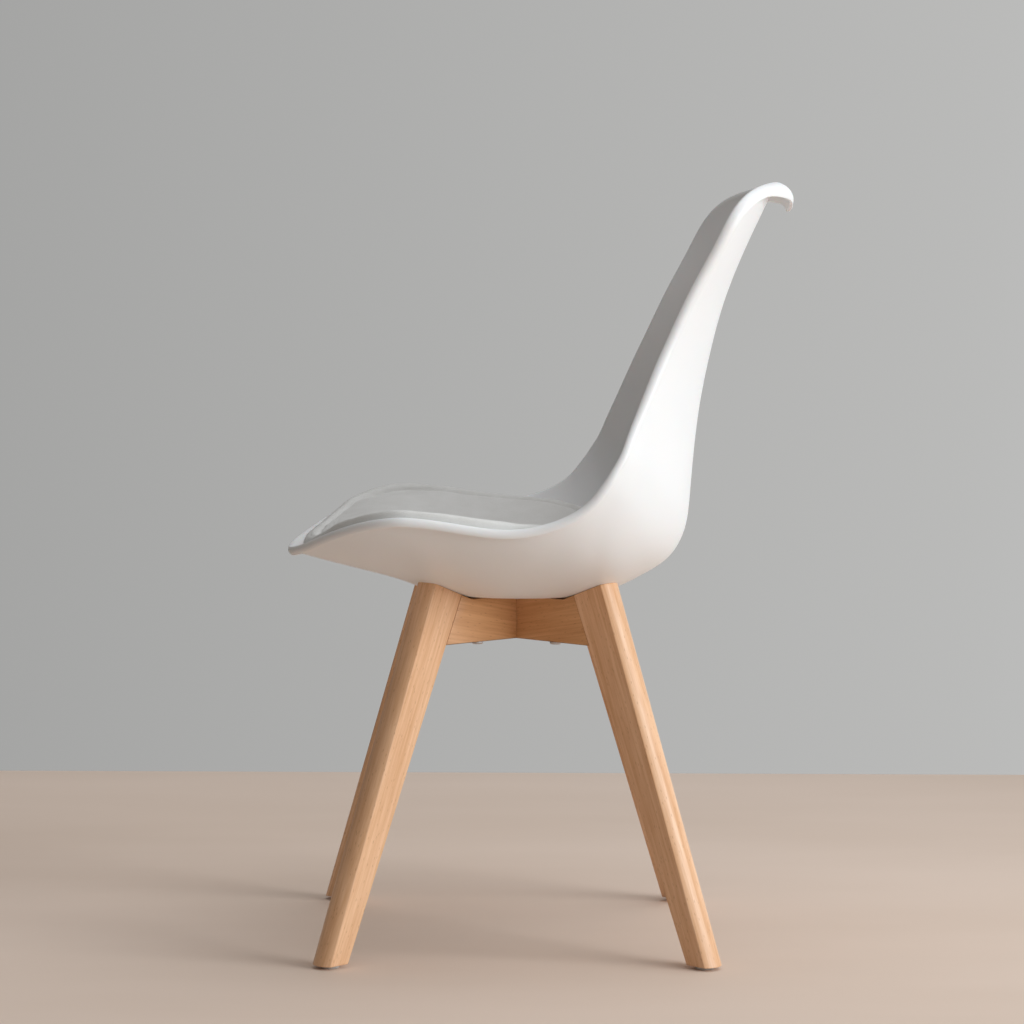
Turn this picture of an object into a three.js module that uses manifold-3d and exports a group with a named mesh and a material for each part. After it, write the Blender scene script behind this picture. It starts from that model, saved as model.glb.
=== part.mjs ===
// Dining chair: a moulded bucket shell with a padded seat, bolted to two crossed rails and four
// splayed legs. Units are millimetres, +Z is up and the sitter faces -Y.
import * as THREE from 'three';
import { mergeVertices } from 'three/addons/utils/BufferGeometryUtils.js';
import Module from 'manifold-3d';

const wasm = await Module();
wasm.setup();
const UP = new THREE.Vector3(0, 0, 1);

// ---------------------------------------------------------------- driving dimensions
const BASE_SHIFT_Y = -23.5;   // the rails cross this far in front of the middle of the chair's depth
const GAP = 0.3;              // clearance between touching pieces

// Shell: one row for each station along the centre line, from the front edge to the top edge.
const WALL = 3.8;             // wall thickness
const FLAT_R = 82;            // radius of the flat foot under the seat
const FOOT_Z = 373;           // underside of the flat foot
const STEEP = 0.365;          // rise of the underside beside the foot, per millimetre of radius
const CONE = 0.29;            // rise of the cone further out
const CONE_FROM = 67;         // radius at which that cone would start
const SIDE_POWER = 6;         // how late the seat's side walls turn up
const BACK_POWER = 2.2;       // how round the back's section is
const FRONT_ROUND = 130;      // length over which the front edge rounds off
const TOP_ROUND = 88;         // length over which the top corners round off
const TOP_SQUARENESS = 3.5;   // superellipse exponent of the top corners
const STATIONS = [
  // y, z: centre line; lean: wall direction from upright, degrees; depth, half: wall depth and
  // half width; back: share of the back's round section; reach, drop: size of the rolled lip
  { y: -240.5, z: 424.5, lean: 0, depth: 46, half: 246, back: 0, reach: 6.2, drop: 9 },
  { y: -212, z: 416.4, lean: 0, depth: 57.5, half: 246, back: 0, reach: 6.2, drop: 9.5 },
  { y: -150, z: 400, lean: 0, depth: 71.5, half: 246, back: 0, reach: 6.2, drop: 10 },
  { y: -120, z: 390.9, lean: 0, depth: 78.6, half: 246, back: 0, reach: 6.2, drop: 10 },
  { y: -95, z: 381.7, lean: 0, depth: 85.6, half: 246, back: 0, reach: 6.2, drop: 10 },
  { y: -52, z: 377, lean: 0, depth: 84, half: 245, back: 0, reach: 6.2, drop: 10 },
  { y: 0, z: 377, lean: 0, depth: 81.5, half: 243, back: 0, reach: 6.2, drop: 10 },
  { y: 52, z: 377, lean: 0, depth: 97.1, half: 241.5, back: 0, reach: 6.2, drop: 10 },
  { y: 95, z: 381.2, lean: 9.5, depth: 114.8, half: 240, back: 0.2, reach: 6.2, drop: 9.5 },
  { y: 134, z: 399, lean: 23.5, depth: 119, half: 238, back: 0.5, reach: 6.2, drop: 9 },
  { y: 162.5, z: 418.5, lean: 34.5, depth: 122, half: 235, back: 0.8, reach: 6.2, drop: 8.5 },
  { y: 178, z: 446, lean: 42, depth: 115.5, half: 230, back: 1, reach: 6.2, drop: 8.5 },
  { y: 183.2, z: 480, lean: 49, depth: 101, half: 222, back: 1, reach: 6.4, drop: 8.5 },
  { y: 187.2, z: 530, lean: 58.6, depth: 81.5, half: 207, back: 1, reach: 7, drop: 9.5 },
  { y: 193.3, z: 582, lean: 64.4, depth: 66.5, half: 190, back: 1, reach: 7.6, drop: 11 },
  { y: 203.2, z: 634, lean: 71, depth: 55, half: 176, back: 1, reach: 8, drop: 11.5 },
  { y: 217.5, z: 690, lean: 72, depth: 45, half: 170, back: 1, reach: 8, drop: 11.5 },
  { y: 239, z: 747, lean: 74, depth: 38.5, half: 170, back: 1, reach: 8, drop: 12.5 },
  { y: 268.5, z: 810, lean: 80, depth: 43, half: 170, back: 1, reach: 8, drop: 16 },
];
const SPINE_START = 90;       // the section rings close on the centre line between these two ends
const SPINE_END = 95;
const HOOK_HALF = 130;        // the top edge curls over further, this far to each side
const HOOK_REACH = 2.5;       // how much the lip grows there
const HOOK_DROP = 15;
const HOOK_SKIRT = 8;         // how far its free edge hangs below its root
const LIP_TURN_SHARE = 0.31;  // share of the drop in which the lip turns over
const SIDE_STEPS = 38;        // steps round each half of the rim
const SPINE_WEIGHT = 2;       // how much the centre line counts in their spacing
const OUTLINE_SAMPLES = 400;  // fine steps from which they are picked
const RING_SHARES = [0, 0.22, 0.42, 0.6, 0.74, 0.85, 0.93, 1];
const LIP_STEPS = 6;          // rows over the lip
const LIP_UNDER_TURNS = [1, 0.6, 0.25];   // rows under it, as shares of its half turn

// Bosses of the shell
const BOSS_ROOT_Z = 374.2;    // bosses start inside the wall
const BOSS_TOP_Z = 388;
const BOSS_R = 9.5;
const BOLT_RADIUS = 59.5;     // bolts stand this far from the middle of the cross
const INSERT_R = 5;
const INSERT_TOP_Z = 383.7;
const PILLAR_R = 6;
const PILLAR_AT = 45;         // pad screws stand this far in front, behind and to each side

// Pad
const PAD_FRONT = 9;          // start of the pad, along the centre line from the front edge
const PAD_FRONT_ROUND = 108;  // length over which the pad's front rounds off
const PAD_REAR = 450;         // end of the pad on the centre line
const PAD_REAR_ROUND = 248;   // length over which the pad's rear rounds off
const PAD_SIDE = 0.99;        // pad width as a share of the shell's
const PAD_SPINE_START = 110;  // the pad's rings close on the centre line between these two places
const PAD_SPINE_END = 330;
const PAD_STEPS = 24;         // steps round each half of the pad
const PAD_SHARES = [0, 0.25, 0.48, 0.68, 0.84, 0.95, 1];
const PAD_THICK = 40;         // thickness in the middle
const PAD_EDGE = 10.5;        // thickness at the edge, which stands a little above the shell's lip
const PAD_FLATNESS = 2.5;     // how far the full thickness spreads from the middle
const PAD_FALL = 0.6;         // how suddenly it falls to the edge
const PAD_UPRIGHT = 4;        // how late the thickness turns from square to the shell to upright
const COVER_THICK = 1.5;
const FOAM_UNDER = 0.5;       // the foam starts this far inside the wall before the shell is cut off it
const FOAM_GAP = 0.4;         // clearance between the foam and the shell
const BOARD_R = 94;
const BOARD_THICK = 4;

// Rails and legs
const TIMBER = 27.2;          // thickness of rails and legs
const RAIL_BOTTOM = 325.9;
const RAIL_TOP = FOOT_Z - GAP;
const RAIL_FLAT = 82;         // half length of the level part of a rail's top
const TOP_SLOPE = 0.362;      // rise of rail and leg tops beyond it
const LEG_FOOT_Z = 3.5;
const LEG_OUTER = 287.2;      // distance of the outer face's edges from the centre, at the foot
const LEG_OUTER_LEAN = -0.3885;
const LEG_INNER = 262;
const LEG_INNER_LEAN = -0.4383;
const LEG_CROWN = 5.5;        // height of the outer face's crown
const CROWN_STEPS = 6;
const DOWEL_R = 4;
const DOWEL_HALF = 17;
const DOWEL_LEVELS = [340, 362];

// Fasteners and glides
const BOLT_R = 3;
const BOLT_HEAD_R = 6.2;
const BOLT_HEAD_H = 3.6;
const BOLT_TOP_Z = 382.5;
const BOLT_HOLE_R = 3.4;
const HEX_R = 2.3;            // hexagon socket, corner to centre
const PAD_SCREW_R = 2;
const GLIDE_R = 10.5;
const GLIDE_H = LEG_FOOT_Z - GAP;
const GLIDE_RADIUS = 275.5;   // distance of each glide from the centre
const NAIL_R = 1.2;
const NAIL_TOP_Z = 22;

// ---------------------------------------------------------------- materials
const material = (color, roughness, metalness = 0) =>
  new THREE.MeshStandardMaterial({ color, roughness, metalness });
const whitePlastic = material(0xf1f1ef, 0.42);
const leatherette = material(0xe4e3df, 0.55);
const foam = material(0xe8dfb4, 0.95);
const board = material(0xb98f5f, 0.8);
const beechLeg = material(0xd8ab7c, 0.5);
const beechRail = material(0xd2a274, 0.5);
const dowelWood = material(0xdcb98c, 0.7);
const steel = material(0xa9abad, 0.35, 1);
const brass = material(0xb9985a, 0.35, 1);
const greyPlastic = material(0xc9c9c6, 0.5);

const chair = new THREE.Group();
chair.position.set(0, BASE_SHIFT_Y, 0);

function place(name, geometry, surface, parent = chair) {
  const mesh = new THREE.Mesh(geometry, surface);
  mesh.name = name;
  parent.add(mesh);
  return mesh;
}

// ---------------------------------------------------------------- solids
function merged(geometry) {
  const plain = geometry.clone();
  plain.deleteAttribute('normal');
  plain.deleteAttribute('uv');
  return mergeVertices(plain, 1e-4);
}

function toSolid(geometry) {
  const shape = merged(geometry);
  return new wasm.Manifold(new wasm.Mesh({
    numProp: 3,
    vertProperties: new Float32Array(shape.attributes.position.array),
    triVerts: new Uint32Array(shape.index.array),
  }));
}

function toGeometry(solid) {
  const mesh = solid.getMesh();
  const geometry = new THREE.BufferGeometry();
  geometry.setAttribute('position', new THREE.BufferAttribute(mesh.vertProperties, 3));
  geometry.setIndex(new THREE.BufferAttribute(mesh.triVerts, 1));
  geometry.computeVertexNormals();
  return geometry;
}

function cut(geometry, tools) {
  return toGeometry(tools.reduce((solid, tool) => solid.subtract(toSolid(tool)), toSolid(geometry)));
}

// A solid of revolution about +Z from a list of [radius, height] points that starts and ends on
// the axis, or closes on itself.
function turned(profile, segments = 20) {
  const points = profile.map(([r, h]) => new THREE.Vector2(r, h));
  return merged(new THREE.LatheGeometry(points, segments).rotateX(Math.PI / 2));
}

function rod(radius, from, to, segments = 16) {
  return turned([[0, from], [radius, from], [radius, to], [0, to]], segments);
}

function tube(inner, outer, from, to, segments = 20) {
  return turned([[inner, from], [outer, from], [outer, to], [inner, to], [inner, from]], segments);
}

// ---------------------------------------------------------------- shell surface
// Natural cubic spline through the given knots.
function spline(knots, values) {
  const last = knots.length - 1;
  const bend = new Array(last + 1).fill(0);
  const upper = new Array(last + 1).fill(0);
  for (let i = 1; i < last; i++) {
    const before = knots[i] - knots[i - 1];
    const after = knots[i + 1] - knots[i];
    const rise = (values[i + 1] - values[i]) / after - (values[i] - values[i - 1]) / before;
    const pivot = 2 * (before + after) - before * upper[i - 1];
    upper[i] = after / pivot;
    bend[i] = (6 * rise - before * bend[i - 1]) / pivot;
  }
  for (let i = last - 1; i > 0; i--) bend[i] -= upper[i] * bend[i + 1];
  return (at) => {
    let i = 0;
    while (i < last - 1 && at > knots[i + 1]) i++;
    const step = knots[i + 1] - knots[i];
    const a = (knots[i + 1] - at) / step;
    const b = 1 - a;
    const curve = ((a ** 3 - a) * bend[i] + (b ** 3 - b) * bend[i + 1]) * step * step / 6;
    return a * values[i] + b * values[i + 1] + curve;
  };
}

const stationAt = [0];
for (let i = 1; i < STATIONS.length; i++) {
  const run = Math.hypot(STATIONS[i].y - STATIONS[i - 1].y, STATIONS[i].z - STATIONS[i - 1].z);
  stationAt.push(stationAt[i - 1] + run);
}
const LENGTH = stationAt.at(-1);
const along = {};
for (const key of Object.keys(STATIONS[0])) {
  along[key] = spline(stationAt, STATIONS.map((station) => station[key]));
}

// Share of the full width at a distance from the front edge, for the rounded front and top.
function rounding(s) {
  const front = Math.max(0, 1 - s / FRONT_ROUND);
  const top = Math.max(0, 1 - (LENGTH - s) / TOP_ROUND);
  const atFront = Math.sqrt(Math.max(0, 1 - front * front));
  const atTop = Math.max(0, 1 - top ** TOP_SQUARENESS) ** (1 / TOP_SQUARENESS);
  return Math.min(atFront, atTop);
}

const halfWidth = (s) => along.half(s) * rounding(s);

// Rise of the underside at a distance from the middle of the foot.
function riseAt(radius) {
  return Math.max(0, Math.min(STEEP * (radius - FLAT_R), CONE * (radius - CONE_FROM)));
}

// Height that the cone round the flat foot gives above the centre line.
function coneRise(x, y) {
  return riseAt(Math.hypot(x, y)) - riseAt(Math.abs(y));
}

// Point of the shell's inner face: s along the centre line, x to the side.
function innerPoint(s, x) {
  const y = along.y(s);
  const half = Math.max(halfWidth(s), 1e-6);
  const share = Math.min(Math.abs(x) / half, 1);
  const depth = along.depth(s) * rounding(s) ** 2;
  const wall = (depth - coneRise(half, y)) * share ** SIDE_POWER;
  const seatRise = coneRise(share * half, y) + wall;
  const backRise = depth * share ** BACK_POWER;
  const back = THREE.MathUtils.clamp(along.back(s), 0, 1);
  const rise = THREE.MathUtils.lerp(seatRise, backRise, back);
  const lean = THREE.MathUtils.degToRad(along.lean(s));
  return new THREE.Vector3(x, y - Math.sin(lean) * rise, along.z(s) + Math.cos(lean) * rise);
}

// Points { s, x } round half of an outline from its front middle to its rear middle, spaced by
// their distance along both the outline and the centre line.
function evenOutline(half, start, end, steps) {
  const dense = [];
  const count = OUTLINE_SAMPLES;
  for (let i = 0; i <= count; i++) {
    const turn = i / count;
    const eased = turn < 0.5 ? 8 * turn ** 4 : 1 - 8 * (1 - turn) ** 4;
    const s = start + (end - start) * eased;
    dense.push({ s, x: i === 0 || i === count ? 0 : half(s) });
  }
  const run = [0];
  for (let i = 1; i <= count; i++) {
    const from = innerPoint(dense[i - 1].s, dense[i - 1].x);
    const rim = from.distanceTo(innerPoint(dense[i].s, dense[i].x));
    run.push(run[i - 1] + rim + SPINE_WEIGHT * (dense[i].s - dense[i - 1].s));
  }
  const outline = [];
  let i = 1;
  for (let k = 0; k <= steps; k++) {
    const target = run[count] * k / steps;
    while (i < count && run[i] < target) i++;
    const share = (target - run[i - 1]) / (run[i] - run[i - 1]);
    const s = THREE.MathUtils.lerp(dense[i - 1].s, dense[i].s, share);
    outline.push({ s, x: k === 0 || k === steps ? 0 : half(s) });
  }
  return outline;
}

// Rings of inner-face points between the centre line and an outline, over the whole width. The
// first ring lies on the centre line, so its left and right points are the same.
function ringGrid(outline, spineStart, spineEnd, shares) {
  const steps = outline.length - 1;
  const from = outline[0].s;
  const span = outline[steps].s - from;
  const column = (k, side) => {
    const rim = outline[k];
    const spine = spineStart + (spineEnd - spineStart) * (rim.s - from) / span;
    return shares.map((share) => {
      const s = spine + (rim.s - spine) * share;
      return innerPoint(s, side * Math.min(rim.x * share, halfWidth(s)));
    });
  };
  const columns = [];
  for (let k = 0; k < steps; k++) columns.push(column(k, 1));
  for (let k = steps; k > 0; k--) columns.push(column(k, -1));
  return shares.map((share, ring) => columns.map((points) => points[ring]));
}

// Unit normals of a ring grid, pointing towards the sitter.
function ringNormals(rings) {
  const around = rings[0].length;
  return rings.map((ring, i) => ring.map((point, j) => {
    const next = ring[(j + 1) % around];
    const previous = ring[(j + around - 1) % around];
    const outward = i === 0
      ? new THREE.Vector3().subVectors(rings[1][j], rings[1][(around - j) % around])
      : new THREE.Vector3().subVectors(rings[Math.min(i + 1, rings.length - 1)][j], rings[i - 1][j]);
    const turn = new THREE.Vector3().subVectors(next, previous);
    if (i === 0 && (j === 0 || j === around / 2)) {
      turn.set(j === 0 ? 1 : -1, 0, 0);
      outward.subVectors(rings[1][j], point);
    } else if (i === 0) {
      outward.set(j < around / 2 ? 1 : -1, 0, 0);
    }
    return turn.cross(outward).normalize().negate();
  }));
}

const offsetRing = (ring, normals, distance) =>
  ring.map((point, j) => point.clone().addScaledVector(normals[j], distance));

// Closed solid from rows of points, each row going once round the chair. The first and the last
// row lie on the centre line. Left and right mirror each other, and so do the diagonals of the
// upper and the under rows, so that layers of one pad lie flat on each other.
function solidFromRows(rows) {
  const around = rows[0].length;
  const positions = rows.flatMap((row) => row.flatMap((point) => point.toArray()));
  const index = [];
  for (let i = 0; i < rows.length - 1; i++) {
    for (let j = 0; j < around; j++) {
      const next = (j + 1) % around;
      const [a, b] = [i * around + j, i * around + next];
      const [c, d] = [(i + 1) * around + next, (i + 1) * around + j];
      const sameWay = (j < around / 2) === (i < rows.length / 2);
      index.push(...(sameWay ? [a, c, b, a, d, c] : [a, d, b, b, d, c]));
    }
  }
  const geometry = new THREE.BufferGeometry();
  geometry.setAttribute('position', new THREE.Float32BufferAttribute(positions, 3));
  geometry.setIndex(index);
  return merged(geometry);
}

// Share of the hook along the top edge: 1 in the middle, 0 from HOOK_HALF outwards.
function hookShare({ s, x }) {
  const side = Math.min(1, x / HOOK_HALF);
  return s > LENGTH / 2 ? (1 - side * side) ** 2 : 0;
}

// Rows of the rolled lip: up from the neck, outwards and back down, then in again underneath. The
// lip's section is two quarter ellipses, a narrow one that turns over and a wide one that falls.
function lipRows(rings, normals, outline) {
  const around = rings[0].length;
  const neck = rings.at(-1);
  const before = rings.at(-2);
  const over = Array.from({ length: LIP_STEPS }, (_, i) => ({ turn: (i + 1) / LIP_STEPS, skin: 0 }));
  const under = LIP_UNDER_TURNS.map((turn) => ({ turn, skin: WALL }));
  return [...over, ...under].map(({ turn, skin }) => neck.map((point, j) => {
    const rim = outline[j <= around / 2 ? j : around - j];
    const back = normals.at(-1)[j].clone().negate();
    const tangent = new THREE.Vector3().subVectors(neck[(j + 1) % around], neck[(j + around - 1) % around]);
    tangent.normalize();
    const out = new THREE.Vector3().subVectors(point, before[j]);
    out.addScaledVector(tangent, -out.dot(tangent)).addScaledVector(back, -out.dot(back)).normalize();
    const hook = hookShare(rim);
    const reach = along.reach(rim.s) + HOOK_REACH * hook;
    const fall = turn < 0.5 ? reach : reach + HOOK_SKIRT * hook;
    const drop = along.drop(rim.s) + HOOK_DROP * hook;
    const turnOver = drop * LIP_TURN_SHARE;
    const width = turn < 0.5 ? turnOver : drop - turnOver;
    const angle = Math.PI * turn;
    const outwards = reach - fall + (fall - skin) * Math.sin(angle);
    const backwards = turnOver - (width - skin) * Math.cos(angle);
    return point.clone().addScaledVector(out, outwards).addScaledVector(back, backwards);
  }));
}

const shellOutline = evenOutline(halfWidth, 0, LENGTH, SIDE_STEPS);
const shellRings = ringGrid(shellOutline, SPINE_START, LENGTH - SPINE_END, RING_SHARES);
const shellNormals = ringNormals(shellRings);

// The shell as a closed solid, with its inner face raised by a clearance.
function shellSolid(clearance) {
  const inner = shellRings.map((ring, i) => offsetRing(ring, shellNormals[i], clearance));
  const outer = shellRings.map((ring, i) => offsetRing(ring, shellNormals[i], -WALL));
  for (const point of outer.flat()) point.z = Math.max(point.z, FOOT_Z);
  return solidFromRows([...inner, ...lipRows(shellRings, shellNormals, shellOutline), ...outer.reverse()]);
}

// ---------------------------------------------------------------- places that repeat
const CORNERS = [
  { name: 'front_left', turn: -45 },
  { name: 'rear_left', turn: 45 },
  { name: 'rear_right', turn: 135 },
  { name: 'front_right', turn: -135 },
];
const SIDES = [
  { name: 'left', x: PILLAR_AT, y: 0 },
  { name: 'rear', x: 0, y: PILLAR_AT },
  { name: 'right', x: -PILLAR_AT, y: 0 },
  { name: 'front', x: 0, y: -PILLAR_AT },
];
const cornerPoint = (turn, radius) => {
  const angle = THREE.MathUtils.degToRad(turn);
  return [radius * Math.cos(angle), radius * Math.sin(angle)];
};

// ---------------------------------------------------------------- seat shell
function makeShell() {
  const bosses = CORNERS.map(({ turn }) => {
    const [x, y] = cornerPoint(turn, BOLT_RADIUS);
    return {
      post: rod(BOSS_R, BOSS_ROOT_Z, BOSS_TOP_Z).translate(x, y, 0),
      hole: rod(INSERT_R + GAP, FOOT_Z - 1, INSERT_TOP_Z + GAP).translate(x, y, 0),
    };
  });
  const pillars = SIDES.map(({ x, y }) => ({
    post: rod(PILLAR_R, BOSS_ROOT_Z, BOSS_TOP_Z, 12).translate(x, y, 0),
    hole: rod(PAD_SCREW_R + GAP, FOOT_Z - 1, BOSS_TOP_Z + 1, 12).translate(x, y, 0),
  }));
  let solid = toSolid(shellSolid(0));
  for (const { post } of [...bosses, ...pillars]) solid = solid.add(toSolid(post));
  for (const { hole } of [...bosses, ...pillars]) solid = solid.subtract(toSolid(hole));
  return toGeometry(solid);
}
place('seat_shell', makeShell(), whitePlastic);

// ---------------------------------------------------------------- seat pad
// Half width of the pad: inside the shell's front edge, and rounded off behind the seat.
function padHalf(s) {
  const front = Math.max(0, 1 - (s - PAD_FRONT) / PAD_FRONT_ROUND);
  const rear = Math.max(0, 1 - (PAD_REAR - s) / PAD_REAR_ROUND);
  const share = Math.sqrt(Math.max(0, 1 - front * front)) * Math.sqrt(Math.max(0, 1 - rear * rear));
  return Math.min(along.half(s) * PAD_SIDE * share, halfWidth(s) * PAD_SIDE);
}

const padOutline = evenOutline(padHalf, PAD_FRONT, PAD_REAR, PAD_STEPS);
const padRings = ringGrid(padOutline, PAD_SPINE_START, PAD_SPINE_END, PAD_SHARES);
const padNormals = ringNormals(padRings);
const padRise = padNormals.map((ring, i) =>
  ring.map((normal) => normal.clone().lerp(UP, PAD_SHARES[i] ** PAD_UPRIGHT).normalize()));

// Pad thickness over the shell at a share of the way from the centre line to the pad's edge.
const padHeight = (share) =>
  PAD_EDGE + (PAD_THICK - PAD_EDGE) * (1 - share ** PAD_FLATNESS) ** PAD_FALL;

const padLayer = (drop) => padRings.map((ring, i) =>
  offsetRing(ring, padRise[i], padHeight(PAD_SHARES[i]) - drop));

function makePadCover() {
  return solidFromRows([...padLayer(0), ...padLayer(COVER_THICK).reverse()]);
}

function makePadFoam() {
  const floor = BOSS_TOP_Z + GAP + BOARD_THICK + GAP;
  const under = padRings.map((ring, i) => offsetRing(ring, padNormals[i], -FOAM_UNDER));
  for (const point of under.flat()) point.z = Math.max(point.z, floor);
  const solid = toSolid(solidFromRows([...padLayer(COVER_THICK + GAP), ...under.reverse()]));
  return toGeometry(solid.subtract(toSolid(shellSolid(FOAM_GAP))));
}

function makePadBoard() {
  const bottom = BOSS_TOP_Z + GAP;
  const plate = rod(BOARD_R, bottom, bottom + BOARD_THICK, 40);
  const holes = SIDES.map(({ x, y }) =>
    rod(PAD_SCREW_R + GAP, bottom - 1, bottom + BOARD_THICK + 1, 12).translate(x, y, 0));
  return cut(plate, holes);
}

place('pad_cover', makePadCover(), leatherette);
place('pad_foam', makePadFoam(), foam);
place('pad_board', makePadBoard(), board);

// ---------------------------------------------------------------- legs
const innerFaceAt = (z) => LEG_INNER + LEG_INNER_LEAN * (z - LEG_FOOT_Z);
const topAt = (radius) => RAIL_TOP + TOP_SLOPE * Math.max(0, radius - RAIL_FLAT);

// Height at which a straight edge of the leg meets the sloping top.
function edgeTop(radius, lean) {
  const level = RAIL_TOP + TOP_SLOPE * (radius - lean * LEG_FOOT_Z - RAIL_FLAT);
  return level / (1 - TOP_SLOPE * lean);
}

// A leg standing along +X: every edge is a straight line from the foot to the sloping top.
function legGeometry() {
  const half = TIMBER / 2;
  const arcR = (half * half + LEG_CROWN * LEG_CROWN) / (2 * LEG_CROWN);
  const edges = [{ radius: LEG_INNER, lean: LEG_INNER_LEAN, side: half },
    { radius: LEG_INNER, lean: LEG_INNER_LEAN, side: -half }];
  for (let k = 0; k <= CROWN_STEPS; k++) {
    const side = half * (2 * k / CROWN_STEPS - 1);
    const crown = Math.sqrt(arcR * arcR - side * side) - (arcR - LEG_CROWN);
    edges.push({ radius: LEG_OUTER + crown, lean: LEG_OUTER_LEAN, side });
  }
  const count = edges.length;
  const foot = edges.map(({ radius, side }) => [radius, side, LEG_FOOT_Z]);
  const head = edges.map(({ radius, lean, side }) => {
    const z = edgeTop(radius, lean);
    return [radius + lean * (z - LEG_FOOT_Z), side, z];
  });
  const index = [];
  for (let i = 0; i < count; i++) {
    const next = (i + 1) % count;
    index.push(i, next, count + next, i, count + next, count + i);
    if (i > 1) index.push(0, i, i - 1, count, count + i - 1, count + i);
  }
  const geometry = new THREE.BufferGeometry();
  geometry.setAttribute('position', new THREE.Float32BufferAttribute([...foot, ...head].flat(), 3));
  geometry.setIndex(index);
  return geometry;
}

// Dowel holes across the joint between a rail end and its leg, along +X.
function dowelRods(radius, half) {
  return DOWEL_LEVELS.map((level) => {
    const middle = innerFaceAt(level);
    return rod(radius, middle - half, middle + half, 14).rotateY(Math.PI / 2).translate(0, 0, level);
  });
}

const dowelHoles = dowelRods(DOWEL_R + GAP, DOWEL_HALF + GAP);
const nailHole = rod(NAIL_R + GAP, LEG_FOOT_Z - 1, NAIL_TOP_Z + 1, 10).translate(GLIDE_RADIUS, 0, 0);
const leg = cut(legGeometry(), [...dowelHoles, nailHole]);

// ---------------------------------------------------------------- rails
// Side view of a rail: slanted ends against the legs, a level top that rises towards them, and a
// notch for the other rail, from above or from below.
function railGeometry(notchFromTop) {
  const half = TIMBER / 2;
  const notch = half + GAP;
  const middle = (RAIL_BOTTOM + RAIL_TOP) / 2;
  const endBottom = innerFaceAt(RAIL_BOTTOM) - GAP;
  const endTopZ = edgeTop(LEG_INNER - GAP, LEG_INNER_LEAN);
  const endTop = innerFaceAt(endTopZ) - GAP;
  const upper = notchFromTop
    ? [[notch, RAIL_TOP], [notch, middle - GAP / 2], [-notch, middle - GAP / 2], [-notch, RAIL_TOP]]
    : [];
  const lower = notchFromTop
    ? []
    : [[-notch, RAIL_BOTTOM], [-notch, middle + GAP / 2], [notch, middle + GAP / 2], [notch, RAIL_BOTTOM]];
  const outline = [[-endBottom, RAIL_BOTTOM], ...lower, [endBottom, RAIL_BOTTOM], [endTop, endTopZ],
    [RAIL_FLAT, RAIL_TOP], ...upper, [-RAIL_FLAT, RAIL_TOP], [-endTop, endTopZ]];
  const shape = new THREE.Shape(outline.map(([x, z]) => new THREE.Vector2(x, z)));
  const plank = new THREE.ExtrudeGeometry(shape, { depth: TIMBER, bevelEnabled: false });
  return merged(plank.translate(0, 0, -half).rotateX(Math.PI / 2));
}

function makeRail(notchFromTop) {
  const boltHole = (x) => rod(BOLT_HOLE_R, RAIL_BOTTOM - 1, RAIL_TOP + 1).translate(x, 0, 0);
  const farHoles = dowelHoles.map((hole) => hole.clone().rotateZ(Math.PI));
  return cut(railGeometry(notchFromTop),
    [...dowelHoles, ...farHoles, boltHole(BOLT_RADIUS), boltHole(-BOLT_RADIUS)]);
}

const quarterTurn = THREE.MathUtils.degToRad(45);
place('rail_front_left_to_rear_right', makeRail(true), beechRail).rotation.z = -quarterTurn;
place('rail_rear_left_to_front_right', makeRail(false), beechRail).rotation.z = quarterTurn;

// ---------------------------------------------------------------- fasteners and glides
// Flanged button-head bolt, pushed up through the rail, with a hexagon socket in its head.
function boltGeometry() {
  const under = RAIL_BOTTOM - GAP;
  const low = under - BOLT_HEAD_H;
  const body = turned([[0, low], [3.6, low], [5.2, low + 0.7], [BOLT_HEAD_R, low + 2],
    [BOLT_HEAD_R, under], [BOLT_R, under], [BOLT_R, BOLT_TOP_Z - 0.8], [BOLT_R - 0.8, BOLT_TOP_Z],
    [0, BOLT_TOP_Z]]);
  return cut(body, [rod(HEX_R, low - 1, low + 2.2, 6)]);
}

// Pan-head screw through the shell floor into the pad board.
function padScrewGeometry() {
  const under = FOOT_Z - GAP;
  const tip = BOSS_TOP_Z + GAP + BOARD_THICK - 0.6;
  return turned([[0, under - 2.4], [2.6, under - 2.4], [4, under - 1.4], [4, under],
    [PAD_SCREW_R, under], [PAD_SCREW_R, tip - 1.6], [0, tip]], 14);
}

// Plastic foot disc with a pocket for the head of its nail.
const glide = turned([[0, 0], [GLIDE_R - 1.4, 0], [GLIDE_R, 1.4], [GLIDE_R, GLIDE_H], [3.4, GLIDE_H],
  [3.4, 1.2], [0, 1.2]], 24);
const nail = turned([[0, 1.5], [3, 1.5], [3, 2.5], [NAIL_R, 2.5], [NAIL_R, NAIL_TOP_Z - 2],
  [0, NAIL_TOP_Z]], 10);
const insert = tube(BOLT_R + GAP, INSERT_R, FOOT_Z + GAP, INSERT_TOP_Z);
const bolt = boltGeometry();
const padScrew = padScrewGeometry();
const dowels = dowelRods(DOWEL_R, DOWEL_HALF);

for (const { name, turn } of CORNERS) {
  const corner = new THREE.Group();
  corner.rotation.z = THREE.MathUtils.degToRad(turn);
  chair.add(corner);
  place(`leg_${name}`, leg, beechLeg, corner);
  place(`dowel_${name}_lower`, dowels[0], dowelWood, corner);
  place(`dowel_${name}_upper`, dowels[1], dowelWood, corner);
  place(`insert_${name}`, insert, brass, corner).position.x = BOLT_RADIUS;
  place(`bolt_${name}`, bolt, steel, corner).position.x = BOLT_RADIUS;
  place(`glide_${name}`, glide, greyPlastic, corner).position.x = GLIDE_RADIUS;
  place(`glide_nail_${name}`, nail, steel, corner).position.x = GLIDE_RADIUS;
}
for (const { name, x, y } of SIDES) place(`pad_screw_${name}`, padScrew, steel).position.set(x, y, 0);

export default chair;
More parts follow.
